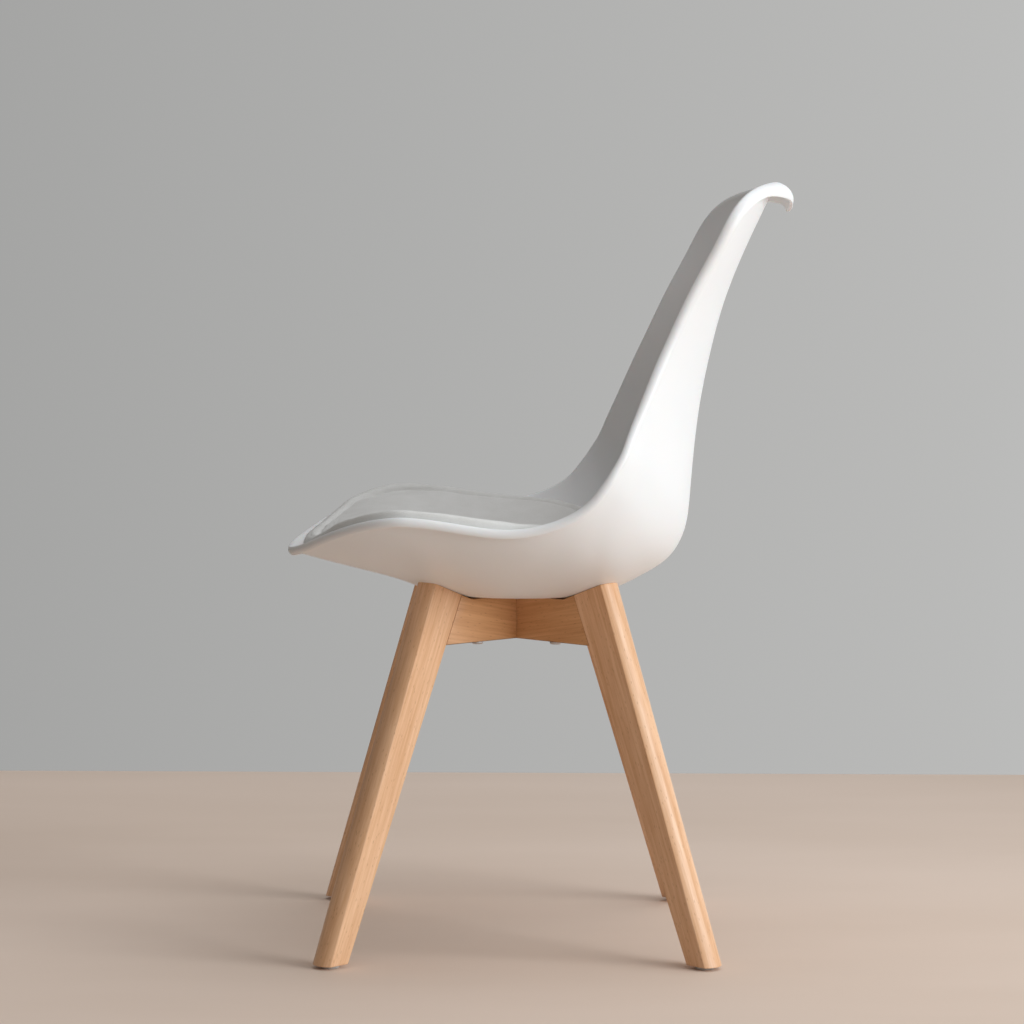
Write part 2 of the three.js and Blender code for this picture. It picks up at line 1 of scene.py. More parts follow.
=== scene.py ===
"""Dining chair with a padded bucket seat: the visual model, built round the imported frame.

Blender works in metres, +Z up, and the sitter faces -Y. The chair's own formulas are in millimetres
from the middle of its leg base, and in_frame() brings their points into the frame.
"""

import math

import bmesh
import bpy
import numpy as np
from mathutils import Matrix, Vector
from mathutils.kdtree import KDTree


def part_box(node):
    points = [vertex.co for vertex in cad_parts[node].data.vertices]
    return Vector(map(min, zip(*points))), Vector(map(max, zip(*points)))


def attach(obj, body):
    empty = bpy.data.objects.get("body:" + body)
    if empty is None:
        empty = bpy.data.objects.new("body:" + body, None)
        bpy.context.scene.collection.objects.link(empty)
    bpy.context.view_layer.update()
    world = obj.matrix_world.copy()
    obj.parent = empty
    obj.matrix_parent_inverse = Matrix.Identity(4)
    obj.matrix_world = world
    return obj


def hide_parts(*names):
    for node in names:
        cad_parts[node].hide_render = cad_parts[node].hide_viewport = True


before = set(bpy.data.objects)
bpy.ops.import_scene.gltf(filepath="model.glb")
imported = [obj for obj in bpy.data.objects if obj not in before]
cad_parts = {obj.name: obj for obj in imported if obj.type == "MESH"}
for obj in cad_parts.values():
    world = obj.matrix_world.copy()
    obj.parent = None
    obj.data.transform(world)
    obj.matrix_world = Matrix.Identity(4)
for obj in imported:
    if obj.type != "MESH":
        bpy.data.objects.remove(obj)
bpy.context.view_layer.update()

# ---------------------------------------------------------------- places from the frame
MM = 0.001
CORNERS = {"front_left": -45, "rear_left": 45, "rear_right": 135, "front_right": -135}


def box_middle(node):
    """Middle of a CAD node's box, in the frame."""
    low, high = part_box(node)
    return (low + high) / 2


BASE = sum((box_middle(f"glide_{name}") for name in CORNERS), Vector()) / len(CORNERS)
BASE.z = 0.0


def in_frame(points):
    """Points in millimetres from the middle of the leg base, as metres in the frame."""
    return np.asarray(points) * MM + np.array(BASE)


# ---------------------------------------------------------------- driving dimensions, millimetres
GAP = 0.3              # clearance between touching pieces

WALL = 3.8             # the shell's wall thickness
FLAT_R = 82            # radius of the flat foot under the seat
FOOT_Z = 373           # underside of the flat foot
STEEP = 0.365          # rise of the underside beside the foot, per millimetre of radius
CONE = 0.29            # rise of the cone further out
CONE_FROM = 67         # radius at which that cone would start
RISE_BLEND = 3         # height over which the two slopes blend
FOOT_BLEND = 4         # height over which the foot's edge blends
SIDE_POWER = 6         # how late the seat's side walls turn up
BACK_POWER = 2.2       # how round the back's section is
FRONT_ROUND = 130      # length over which the front edge rounds off
TOP_ROUND = 88         # length over which the top corners round off
TOP_SQUARENESS = 3.5   # superellipse exponent of the top corners
# One row for each station along the centre line, from the front edge to the top edge:
# y, z, lean of the wall in degrees, wall depth, half width, share of the back's round section,
# reach and drop of the rolled lip.
STATIONS = np.array([
    [-240.5, 424.5, 0, 46, 246, 0, 6.2, 9],
    [-212, 416.4, 0, 57.5, 246, 0, 6.2, 9.5],
    [-150, 400, 0, 71.5, 246, 0, 6.2, 10],
    [-120, 390.9, 0, 78.6, 246, 0, 6.2, 10],
    [-95, 381.7, 0, 85.6, 246, 0, 6.2, 10],
    [-52, 377, 0, 84, 245, 0, 6.2, 10],
    [0, 377, 0, 81.5, 243, 0, 6.2, 10],
    [52, 377, 0, 97.1, 241.5, 0, 6.2, 10],
    [95, 381.2, 9.5, 114.8, 240, 0.2, 6.2, 9.5],
    [134, 399, 23.5, 119, 238, 0.5, 6.2, 9],
    [162.5, 418.5, 34.5, 122, 235, 0.8, 6.2, 8.5],
    [178, 446, 42, 115.5, 230, 1, 6.2, 8.5],
    [183.2, 480, 49, 101, 222, 1, 6.4, 8.5],
    [187.2, 530, 58.6, 81.5, 207, 1, 7, 9.5],
    [193.3, 582, 64.4, 66.5, 190, 1, 7.6, 11],
    [203.2, 634, 71, 55, 176, 1, 8, 11.5],
    [217.5, 690, 72, 45, 170, 1, 8, 11.5],
    [239, 747, 74, 38.5, 170, 1, 8, 12.5],
    [268.5, 810, 80, 43, 170, 1, 8, 16],
])
SPINE_START = 90       # the shell's rings close on the centre line between these two ends
SPINE_END = 95
HOOK_HALF = 130        # the top edge curls over further, this far to each side
HOOK_REACH = 3.8       # its extra reach: the CAD has 2.5, and the rest lifts the middle of the crest
HOOK_DROP = 15         # its extra drop
HOOK_SKIRT = 8         # how far its free edge hangs below its root
LIP_TURN_SHARE = 0.31  # share of the drop in which the lip turns over
EDGE_BULGE = 1.0       # how far the lip's free edge is rounded out
OUTLINE_SAMPLES = 4000  # fine steps along half an outline, before it is spaced evenly
SPINE_WEIGHT = 2       # how much the centre line counts in the spacing round an outline
SHELL_STEPS = 150      # steps round each half of the shell
SHELL_RINGS = 30
SHELL_RING_POWER = 1.35   # how closely the rings crowd towards the rim
LIP_OVER_STEPS = 22    # steps over the lip, round its free edge and back in underneath
LIP_EDGE_STEPS = 6
LIP_UNDER_STEPS = 8

PAD_FRONT = 9          # the pad's ends along the centre line
PAD_FRONT_ROUND = 108
PAD_REAR = 450
PAD_REAR_ROUND = 248
PAD_SIDE = 0.99        # pad width as a share of the shell's
PAD_SPINE_START = 110
PAD_SPINE_END = 330
PAD_STEPS = 170        # steps round each half of the pad
PAD_RINGS = 39         # rings inside the pad's border
PAD_BORDER_STEP = 0.9  # spacing of the border's rings
PAD_ROLL_INSETS = (0.0, 0.35, 0.8, 1.4, 2.1, 2.9, 3.9)   # rings where the edge turns down
PAD_THICK = 40         # thickness in the middle
PAD_EDGE = 10.5        # thickness near the edge
PAD_LEAST = 0.2        # thickness at the very edge
PAD_FLATNESS = 2.5     # how late the thickness starts to fall towards the edge
PAD_FALL = 0.6         # how suddenly it ends
PAD_UPRIGHT = 4        # how late the thickness turns from the shell's normal to upright
PAD_CLEAR = 0.6        # between the pad and the shell under it
BOARD_TOP_Z = 392.6    # the pad's hard board ends just below this height
PAD_SHRINK = 0.965     # the pad starts this much thinner, and its stuffing fills it out
PAD_ROLL = 5           # width over which the pad's edge turns down
PAD_ROLL_POWER = 2.5
SEAM_INSET = 14        # the seam runs this far inside the pad's edge
SEAM_DEPTH = 1.1
SEAM_HALF = 1.5
ROLL_RISE = 2.4        # how far the border swells between the edge and the seam
ROLL_POWER = 1.5       # how softly that swelling starts and ends
SWELL_LIMIT = 5        # the most that a point of the pad may move as it fills out

TIMBER = 27.2          # thickness of rails and legs
RAIL_BOTTOM = 325.9
RAIL_TOP = FOOT_Z - GAP
RAIL_FLAT = 82         # half length of the level part of a rail's top
TOP_SLOPE = 0.362      # rise of rail and leg tops beyond it
LEG_FOOT_Z = 3.5
LEG_OUTER = 287.2      # distance of the outer face's edges from the middle, at the foot
LEG_OUTER_LEAN = -0.3885   # change of that distance per millimetre of height
LEG_INNER = 262        # the same for the flat inner face
LEG_INNER_LEAN = -0.4383
LEG_CROWN = 5.5        # height of the outer face's crown
CROWN_STEPS = 24
LEG_ROUND = 0.8        # radius of the legs' edges
RAIL_ROUND = 0.8

BOLT_R = 3
BOLT_CHAMFER = 0.8
PAD_SCREW_R = 2
PAD_SCREW_POINT = 1.6  # height of the pad screws' points
PAD_SCREW_HEAD = 1.5   # height of the pad screws' low heads
GLIDE_BEVEL = 1.4
GLIDE_HOLLOW = 0.35    # depth of the shallow hollow under a glide
GLIDE_HOLLOW_R = (3.2, 3.6)   # radius of the hollow at its floor and at its mouth
GLIDE_CUP_R = 3.4      # the cup in a glide's top, which holds the nail's head
GLIDE_CUP_FLOOR = 1.2

TURN_STEPS = 48        # steps round a turned piece
TURN_SHARP = math.radians(40)    # a turned piece's edges are sharp beyond this angle
PRISM_SHARP = math.radians(25)   # a prism's edges are rounded beyond this angle
BEVEL_STEPS = 4
CORNER_STEPS = 4       # steps round a profile's corner
CORNER_SHARE = 2.01    # a corner's curve takes less than half of its shorter side
WELD = 1e-7            # points nearer than this are one, in metres


# ---------------------------------------------------------------- shell surface
def natural_spline(knots, values):
    """Natural cubic spline through the given knots, as a function of numpy arrays."""
    last = len(knots) - 1
    bend = np.zeros(last + 1)
    upper = np.zeros(last + 1)
    for i in range(1, last):
        before = knots[i] - knots[i - 1]
        after = knots[i + 1] - knots[i]
        rise = (values[i + 1] - values[i]) / after - (values[i] - values[i - 1]) / before
        pivot = 2 * (before + after) - before * upper[i - 1]
        upper[i] = after / pivot
        bend[i] = (6 * rise - before * bend[i - 1]) / pivot
    for i in range(last - 1, 0, -1):
        bend[i] -= upper[i] * bend[i + 1]

    def value(at):
        """The spline at one or more places."""
        i = np.clip(np.searchsorted(knots, at) - 1, 0, last - 1)
        step = knots[i + 1] - knots[i]
        a = (knots[i + 1] - at) / step
        b = 1 - a
        curve = ((a**3 - a) * bend[i] + (b**3 - b) * bend[i + 1]) * step**2 / 6
        return a * values[i] + b * values[i + 1] + curve

    return value


station_at = np.concatenate([[0], np.cumsum(np.hypot(*np.diff(STATIONS[:, :2], axis=0).T))])
LENGTH = station_at[-1]
line_y, line_z, line_lean, line_depth, line_half, line_back, line_reach, line_drop = (
    natural_spline(station_at, column) for column in STATIONS.T
)


def rounding(s):
    """Share of the full width at a distance from the front edge."""
    front = np.maximum(0, 1 - s / FRONT_ROUND)
    top = np.maximum(0, 1 - (LENGTH - s) / TOP_ROUND)
    at_front = np.sqrt(np.maximum(0, 1 - front**2))
    at_top = np.maximum(0, 1 - top**TOP_SQUARENESS) ** (1 / TOP_SQUARENESS)
    return np.minimum(at_front, at_top)


def half_width(s):
    """Half width of the shell at a distance from the front edge."""
    return line_half(s) * rounding(s)


def rise_at(radius):
    """Rise of the underside at a distance from the middle of the foot."""
    steep = STEEP * (radius - FLAT_R)
    cone = CONE * (radius - CONE_FROM)
    lower = (steep + cone - np.hypot(steep - cone, RISE_BLEND)) / 2
    return (lower + np.hypot(lower, FOOT_BLEND)) / 2


def cone_rise(x, y):
    """Height that the cone round the flat foot gives above the centre line."""
    return rise_at(np.hypot(x, y)) - rise_at(np.abs(y))


def inner_point(s, x):
    """Points of the shell's inner face: s along the centre line, x to the side."""
    y = line_y(s)
    half = np.maximum(half_width(s), 1e-6)
    share = np.minimum(np.abs(x) / half, 1)
    depth = line_depth(s) * rounding(s) ** 2
    wall = (depth - cone_rise(half, y)) * share**SIDE_POWER
    seat_rise = cone_rise(share * half, y) + wall
    back_rise = depth * share**BACK_POWER
    back = np.clip(line_back(s), 0, 1)
    rise = seat_rise * (1 - back) + back_rise * back
    lean = np.radians(line_lean(s))
    return np.stack([x, y - np.sin(lean) * rise, line_z(s) + np.cos(lean) * rise], -1)


def even_outline(half, start, end, steps):
    """Places (s, x) round half an outline from its front middle to its rear middle, evenly spaced."""
    turn = np.linspace(0, 1, OUTLINE_SAMPLES + 1)
    # Both ends of the outline turn sharply, so the fine steps are closest there.
    eased = np.where(turn < 0.5, 8 * turn**4, 1 - 8 * (1 - turn) ** 4)
    s = start + (end - start) * eased
    points = inner_point(s, half(s))
    rim = np.linalg.norm(np.diff(points, axis=0), axis=1)
    run = np.concatenate([[0], np.cumsum(rim + SPINE_WEIGHT * np.diff(s))])
    s = np.interp(np.linspace(0, run[-1], steps + 1), run, s)
    x = half(s)
    x[[0, -1]] = 0
    return s, x


def whole_way(values):
    """Values for half an outline, the first axis' last one being steps, as values all the way round."""
    return np.concatenate([values[..., :-1], values[..., :0:-1]], axis=-1)


def ring_grid(outline, spine_start, spine_end, shares):
    """Rings of inner-face points between the centre line and an outline: (rings, round, 3)."""
    s_rim, x_rim = outline
    spine = spine_start + (spine_end - spine_start) * (s_rim - s_rim[0]) / (s_rim[-1] - s_rim[0])
    s = spine + (s_rim - spine) * shares
    x = np.minimum(x_rim * shares, half_width(s))
    left = inner_point(s, x)
    right = left * (-1, 1, 1)
    return np.concatenate([left[:, :-1], right[:, :0:-1]], axis=1)


def unit(vectors):
    """Vectors along the last axis, at length 1."""
    return vectors / np.maximum(np.linalg.norm(vectors, axis=-1, keepdims=True), 1e-12)


def dot(a, b):
    """Dot products along the last axis."""
    return np.sum(a * b, axis=-1, keepdims=True)


def ring_normals(rings):
    """Unit normals of a ring grid, pointing towards the sitter."""
    around = rings.shape[1]
    turn = np.roll(rings, -1, 1) - np.roll(rings, 1, 1)
    outward = np.empty_like(rings)
    outward[1:-1] = rings[2:] - rings[:-2]
    outward[-1] = rings[-1] - rings[-2]
    outward[0] = np.where(np.arange(around)[:, None] < around // 2, 1, -1) * np.array([1, 0, 0])
    for j, side in ((0, 1), (around // 2, -1)):
        turn[0, j] = (side, 0, 0)
        outward[0, j] = rings[1, j] - rings[0, j]
    return -unit(np.cross(turn, outward))


# ---------------------------------------------------------------- meshes
def link(mesh, name):
    """New object in the scene, made of a mesh."""
    piece = bpy.data.objects.new(name, mesh)
    bpy.context.scene.collection.objects.link(piece)
    return piece


def solid_from_rows(name, rows):
    """Closed smooth piece from rows of points that each go once round. The first and the last row
    close on themselves, on a line or in a point."""
    count, around = rows.shape[:2]
    i, j = np.meshgrid(np.arange(count - 1), np.arange(around), indexing="ij")
    here = i * around + j
    beside = i * around + (j + 1) % around
    faces = np.stack([here, beside, beside + around, here + around], -1).reshape(-1, 4)
    mesh = bpy.data.meshes.new(name)
    mesh.from_pydata(rows.reshape(-1, 3).tolist(), [], faces.tolist())
    close_up(mesh)
    return link(mesh, name)


def close_up(mesh):
    """Joins doubled points, turns the faces outwards and shades them smoothly."""
    solid = bmesh.new()
    solid.from_mesh(mesh)
    bmesh.ops.remove_doubles(solid, verts=solid.verts, dist=WELD)
    bmesh.ops.recalc_face_normals(solid, faces=solid.faces)
    for face in solid.faces:
        face.smooth = True
    solid.to_mesh(mesh)
    solid.free()


def prism(name, low, high, edge_round, kept=lambda edge: False):
    """Piece between two outlines with the same number of points. Its sharp edges are rounded, but not
    the kept ones."""
    count = len(low)
    solid = bmesh.new()
    rings = [[solid.verts.new(point) for point in outline] for outline in (low, high)]
    for k in range(count):
        n = (k + 1) % count
        solid.faces.new((rings[0][k], rings[0][n], rings[1][n], rings[1][k]))
    solid.faces.new(rings[0][::-1])
    solid.faces.new(rings[1])
    bmesh.ops.recalc_face_normals(solid, faces=solid.faces)
    sharp = [e for e in solid.edges if e.calc_face_angle(0) > PRISM_SHARP and not kept(e)]
    bmesh.ops.bevel(solid, geom=sharp, offset=edge_round, segments=BEVEL_STEPS, profile=0.5,
                    affect="EDGES", clamp_overlap=True)
    for face in solid.faces:
        face.smooth = True
    mesh = bpy.data.meshes.new(name)
    solid.to_mesh(mesh)
    solid.free()
    piece = link(mesh, name)
    piece.modifiers.new("flat faces stay flat", "WEIGHTED_NORMAL").keep_sharp = True
    return piece


def turned(name, profile, at):
    """Piece of revolution about +Z through a place, from (radius, height) pairs in millimetres that
    start and end on the axis. A pair with a third value, "hexagon", has that section."""
    angle = np.arange(TURN_STEPS) * 2 * np.pi / TURN_STEPS
    sixth = np.pi / 3
    hexagon = np.cos(sixth / 2) / np.cos(angle % sixth - sixth / 2)
    rows = []
    for radius, height, *section in profile:
        reach = radius * (hexagon if section else np.ones(TURN_STEPS))
        rows.append(np.stack([reach * np.cos(angle), reach * np.sin(angle),
                              np.full(TURN_STEPS, height)], -1))
    piece = solid_from_rows(name, np.array(rows) * MM)
    piece.data.set_sharp_from_angle(angle=TURN_SHARP)
    piece.location = at
    return piece


def rounded(corners, radius):
    """An open profile with its inner corners turned into short curves."""
    corners = [np.array(corner, float) for corner in corners]
    line = [tuple(corners[0])]
    for before, corner, after in zip(corners, corners[1:], corners[2:]):
        shorter = min(np.linalg.norm(before - corner), np.linalg.norm(after - corner))
        reach = min(radius, shorter / CORNER_SHARE)
        start = corner + unit(before - corner) * reach
        end = corner + unit(after - corner) * reach
        for t in np.linspace(0, 1, CORNER_STEPS + 1):
            line.append(tuple((1 - t) ** 2 * start + 2 * t * (1 - t) * corner + t**2 * end))
    line.append(tuple(corners[-1]))
    return line


# ---------------------------------------------------------------- materials
class Look:
    """A material's node tree, with short ways to add to it."""

    def __init__(self, name):
        self.material = bpy.data.materials.new(name)
        self.material.use_nodes = True
        self.tree = self.material.node_tree
        self.shader = self.tree.nodes["Principled BSDF"]
        self.place = self.node("ShaderNodeTexCoord").outputs["Object"]

    def node(self, kind, inputs=(), **settings):
        """New node with its settings, and with its inputs linked or set."""
        made = self.tree.nodes.new(kind)
        for key, value in settings.items():
            setattr(made, key, value)
        for socket, value in dict(inputs).items():
            self.put(made.inputs[socket], value)
        return made

    def put(self, socket, value):
        """Links an output to a socket, or sets its value."""
        if isinstance(value, bpy.types.NodeSocket):
            self.tree.links.new(value, socket)
        else:
            socket.default_value = value

    def mapped(self, scale, place=None):
        """Texture place, scaled along each axis."""
        return self.node("ShaderNodeMapping", {"Vector": place or self.place, "Scale": scale}).outputs[0]

    def noise(self, place, scale, detail, rough=0.5, twist=0.0):
        """Cloudy noise from 0 to 1."""
        return self.node("ShaderNodeTexNoise", {"Vector": place, "Scale": scale, "Detail": detail,
                                                "Roughness": rough, "Distortion": twist}).outputs["Fac"]

    def cells(self, place, scale, feature="F1"):
        """Distance within the cells of a random pattern."""
        return self.node("ShaderNodeTexVoronoi", {"Vector": place, "Scale": scale},
                         feature=feature).outputs["Distance"]

    def ramp(self, value, stops):
        """Colours by value, from (value, colour) pairs."""
        made = self.node("ShaderNodeValToRGB", {"Fac": value})
        band = made.color_ramp.elements
        while len(band) < len(stops):
            band.new(0.5)
        for element, (at, colour) in zip(band, stops):
            element.position = at
            element.color = (*colour, 1)
        return made.outputs["Color"]

    def span(self, value, low, high, out_low, out_high):
        """A value's range low..high moved to out_low..out_high, clamped."""
        return self.node("ShaderNodeMapRange", {"Value": value, "From Min": low, "From Max": high,
                                                "To Min": out_low, "To Max": out_high}).outputs["Result"]

    def plus(self, a, b):
        """Sum of two values."""
        return self.node("ShaderNodeMath", {0: a, 1: b}, operation="ADD").outputs[0]

    def times(self, value, factor):
        """Product of a value and a factor."""
        return self.node("ShaderNodeMath", {0: value, 1: factor}, operation="MULTIPLY").outputs[0]

    def blend(self, share, colour, other):
        """Colour mixed with another by a share. A Mix node's colours are its inputs 6 and 7."""
        return self.node("ShaderNodeMix", {"Factor": share, 6: colour, 7: other},
                         data_type="RGBA").outputs[2]

    def bump(self, height, depth, strength, under=None):
        """Bump normal on top of another one. Depth is in metres."""
        made = self.node("ShaderNodeBump", {"Height": height, "Distance": depth, "Strength": strength})
        if under:
            self.put(made.inputs["Normal"], under)
        return made.outputs["Normal"]

    def finish(self, **sockets):
        """The material, once its shader's own sockets are linked or set."""
        for name, value in sockets.items():
            self.put(self.shader.inputs[name.replace("_", " ")], value)
        return self.material


def white_plastic():
    """Moulded polypropylene: satin, with the fine texture of a spark-eroded mould."""
    look = Look("white_plastic")
    cloudy = look.noise(look.place, scale=9, detail=2)
    colour = look.ramp(cloudy, [(0.3, (0.815, 0.82, 0.825)), (0.7, (0.84, 0.84, 0.84))])
    texture = look.noise(look.place, scale=1400, detail=3, rough=0.6)
    ripple = look.bump(look.noise(look.place, scale=28, detail=2), depth=0.0006, strength=0.06)
    normal = look.bump(texture, depth=0.00005, strength=0.5, under=ripple)
    rough = look.plus(look.span(texture, 0.3, 0.7, 0.36, 0.46), look.span(cloudy, 0.3, 0.7, -0.02, 0.03))
    return look.finish(Base_Color=colour, Roughness=rough, Normal=normal, IOR=1.49,
                       Subsurface_Weight=0.06, Subsurface_Scale=0.004)


def leatherette():
    """White synthetic leather: pebbled grain with fine creases between the pebbles."""
    look = Look("leatherette")
    cloudy = look.noise(look.place, scale=55, detail=3)
    pebbles = look.cells(look.place, scale=720, feature="DISTANCE_TO_EDGE")
    grain = look.span(pebbles, 0, 0.16, 0, 1)
    pores = look.noise(look.place, scale=2300, detail=2)
    height = look.plus(grain, look.span(pores, 0.3, 0.7, 0, 0.35))
    wrinkles = look.noise(look.place, scale=34, detail=4, rough=0.55, twist=0.6)
    normal = look.bump(height, depth=0.00009, strength=0.7,
                       under=look.bump(wrinkles, depth=0.0009, strength=0.16))
    tone = look.ramp(cloudy, [(0.3, (0.71, 0.70, 0.675)), (0.7, (0.75, 0.74, 0.72))])
    # Painted shade: the colour is mixed up to 22 % towards a dark grey in the creases between the
    # pebbles.
    colour = look.blend(look.span(grain, 0, 1, 0.22, 0), tone, (0.52, 0.50, 0.47, 1))
    rough = look.span(grain, 0, 1, 0.62, 0.46)
    return look.finish(Base_Color=colour, Roughness=rough, Normal=normal, IOR=1.46,
                       Sheen_Weight=0.08, Sheen_Roughness=0.5, Coat_Weight=0.05, Coat_Roughness=0.4)


FLECK_SHADE = (0.62, 0.52, 0.45)   # a fleck's colour as a share of the wood's deep colour


def beech(name, turn, shift, pale, deep):
    """Beech under a matt lacquer. The grain runs along +Z of the turned place."""
    look = Look(name)
    place = look.node("ShaderNodeMapping", {"Vector": look.place, "Rotation": turn,
                                            "Location": shift}).outputs[0]
    stretched = look.mapped((1, 1, 0.055), place)
    sway = look.noise(look.mapped((1, 1, 0.12), place), scale=16, detail=2)
    across = look.node("ShaderNodeSeparateXYZ", {0: place}).outputs
    rings = look.plus(look.plus(across["X"], look.times(across["Y"], 0.35)), look.times(sway, 0.022))
    along_rings = look.node("ShaderNodeCombineXYZ", {0: rings}).outputs[0]
    bands = look.noise(along_rings, scale=300, detail=2, rough=0.6)
    fibres = look.noise(stretched, scale=420, detail=4, rough=0.65)
    streaks = look.noise(stretched, scale=95, detail=3, rough=0.6)
    mixed = look.plus(look.plus(look.times(bands, 0.45), look.times(fibres, 0.35)),
                      look.times(streaks, 0.45))
    middle = tuple((a + b) / 2 for a, b in zip(pale, deep))
    colour = look.ramp(look.span(mixed, 0.49, 0.75, 0, 1), [(0, deep), (0.5, middle), (1, pale)])
    flecks = look.cells(look.mapped((1, 1, 0.2), place), scale=430)
    fleck_colour = (*(share * c for share, c in zip(FLECK_SHADE, deep)), 1)
    colour = look.blend(look.span(flecks, 0.09, 0.19, 0.62, 0), colour, fleck_colour)
    pores = look.noise(look.mapped((1, 1, 0.03), place), scale=1500, detail=2)
    normal = look.bump(look.plus(fibres, pores), depth=0.00012, strength=0.35)
    rough = look.span(fibres, 0.3, 0.7, 0.50, 0.40)
    return look.finish(Base_Color=colour, Roughness=rough, Normal=normal, IOR=1.5,
                       Coat_Weight=0.22, Coat_Roughness=0.32)


def metal(name, colour, low, high):
    """Plated or plain metal with fine turning marks and a little mottling. Its roughness lies
    between low and high."""
    look = Look(name)
    mottle = look.noise(look.place, scale=420, detail=3)
    marks = look.noise(look.mapped((1, 1, 9)), scale=900, detail=2)
    tint = look.ramp(mottle, [(0.3, tuple(c * 0.86 for c in colour)), (0.7, colour)])
    rough = look.span(look.plus(mottle, marks), 0.6, 1.4, low, high)
    return look.finish(Base_Color=tint, Metallic=1.0, Roughness=rough,
                       Normal=look.bump(marks, depth=0.00002, strength=0.5))


def grey_plastic():
    """Hard light grey plastic of the glides, scuffed by the floor."""
    look = Look("grey_plastic")
    scuffs = look.noise(look.mapped((1, 7, 1)), scale=700, detail=4, rough=0.7)
    cloudy = look.noise(look.place, scale=160, detail=2)
    colour = look.ramp(cloudy, [(0.3, (0.44, 0.43, 0.41)), (0.7, (0.52, 0.51, 0.49))])
    rough = look.span(scuffs, 0.35, 0.7, 0.38, 0.6)
    return look.finish(Base_Color=colour, Roughness=rough, IOR=1.47,
                       Normal=look.bump(scuffs, depth=0.00005, strength=0.5))


def plywood():
    """Plain plywood, its plies lying flat."""
    look = Look("plywood")
    plies = look.node("ShaderNodeTexWave", {"Vector": look.place, "Scale": 160, "Distortion": 1.5,
                                            "Detail": 2}, bands_direction="Z").outputs["Fac"]
    grain = look.noise(look.mapped((1, 0.08, 1)), scale=260, detail=4, rough=0.6)
    mixed = look.plus(look.times(plies, 0.5), look.times(grain, 0.5))
    colour = look.ramp(mixed, [(0.25, (0.36, 0.23, 0.12)), (0.75, (0.56, 0.40, 0.24))])
    return look.finish(Base_Color=colour, Roughness=look.span(grain, 0.3, 0.7, 0.8, 0.65),
                       Normal=look.bump(grain, depth=0.0002, strength=0.4))


def pale_floor():
    """Pale, slightly warm floor with a faint cloudiness."""
    look = Look("pale_floor")
    cloudy = look.noise(look.mapped((1, 0.35, 1)), scale=2.2, detail=4)
    colour = look.ramp(cloudy, [(0.3, (0.70, 0.555, 0.455)), (0.7, (0.77, 0.62, 0.52))])
    return look.finish(Base_Color=colour, Roughness=look.span(cloudy, 0.3, 0.7, 0.8, 0.7), IOR=1.45)


BEECH_PALE = (0.85, 0.54, 0.33)
BEECH_DEEP = (0.65, 0.345, 0.165)
# The rails' beech is a darker, more saturated copy of the legs' beech: painted shade and warm bounce
# light for their place under the seat.
SHADED_RAIL_PALE = (0.70, 0.38, 0.18)
SHADED_RAIL_DEEP = (0.52, 0.25, 0.095)
STEEL = metal("zinc_steel", (0.60, 0.60, 0.61), 0.24, 0.42)
BRASS = metal("brass", (0.60, 0.43, 0.17), 0.25, 0.4)


def wear(piece, material):
    """Gives a piece one material."""
    piece.data.materials.clear()
    piece.data.materials.append(material)


def stand_for(piece, material, slot, *nodes):
    """Dresses a new piece, lets it ride on the chair's one body and take the place of CAD nodes."""
    wear(piece, material)
    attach(piece, "root")
    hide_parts(*nodes)


# ---------------------------------------------------------------- seat shell
def lip_rows(rings, normals, outline):
    """Rows over the rolled lip, round its free edge and back in underneath."""
    s = whole_way(outline[0])[:, None]
    x = whole_way(outline[1])[:, None]
    neck = rings[-1]
    back = -normals[-1]
    tangent = unit(np.roll(neck, -1, 0) - np.roll(neck, 1, 0))
    out = neck - rings[-2]
    out = out - dot(out, tangent) * tangent
    out = unit(out - dot(out, back) * back)
    side = np.minimum(1, x / HOOK_HALF)
    hook = np.where(s > LENGTH / 2, (1 - side**2) ** 2, 0)
    reach = line_reach(s) + HOOK_REACH * hook
    skirt = HOOK_SKIRT * hook
    drop = line_drop(s) + HOOK_DROP * hook
    turn_over = drop * LIP_TURN_SHARE

    def row(outwards, backwards):
        """The rim, moved outwards and away from the sitter."""
        return neck + out * outwards + back * backwards

    def around_lip(turn, skin):
        """A row this share of the way over the lip, this deep under its outside."""
        angle = np.pi * turn
        fall = reach if turn < 0.5 else reach + skirt
        width = turn_over if turn < 0.5 else drop - turn_over
        return row(reach - fall + (fall - skin) * np.sin(angle),
                   turn_over - (width - skin) * np.cos(angle))

    over = [around_lip(k / LIP_OVER_STEPS, 0) for k in range(1, LIP_OVER_STEPS + 1)]
    edge = []
    for k in range(1, LIP_EDGE_STEPS):
        angle = np.pi * k / LIP_EDGE_STEPS
        edge.append(row(-skirt - EDGE_BULGE * np.sin(angle), drop - WALL / 2 * (1 - np.cos(angle))))
    under = [around_lip(1 - k / LIP_UNDER_STEPS, WALL) for k in range(LIP_UNDER_STEPS)]
    return np.array(over + edge + under)


def make_shell():
    """The moulded shell: its inner face, the lip and the outer face, as one closed surface."""
    outline = even_outline(half_width, 0, LENGTH, SHELL_STEPS)
    shares = 1 - (1 - np.linspace(0, 1, SHELL_RINGS + 1)) ** SHELL_RING_POWER
    rings = ring_grid(outline, SPINE_START, LENGTH - SPINE_END, shares[:, None])
    normals = ring_normals(rings)
    outer = rings - WALL * normals
    outer[..., 2] = np.maximum(outer[..., 2], FOOT_Z)
    rows = np.concatenate([rings, lip_rows(rings, normals, outline), outer[::-1]])
    shell = solid_from_rows("moulded_shell", in_frame(rows))
    stand_for(shell, white_plastic(), "shell", "seat_shell")


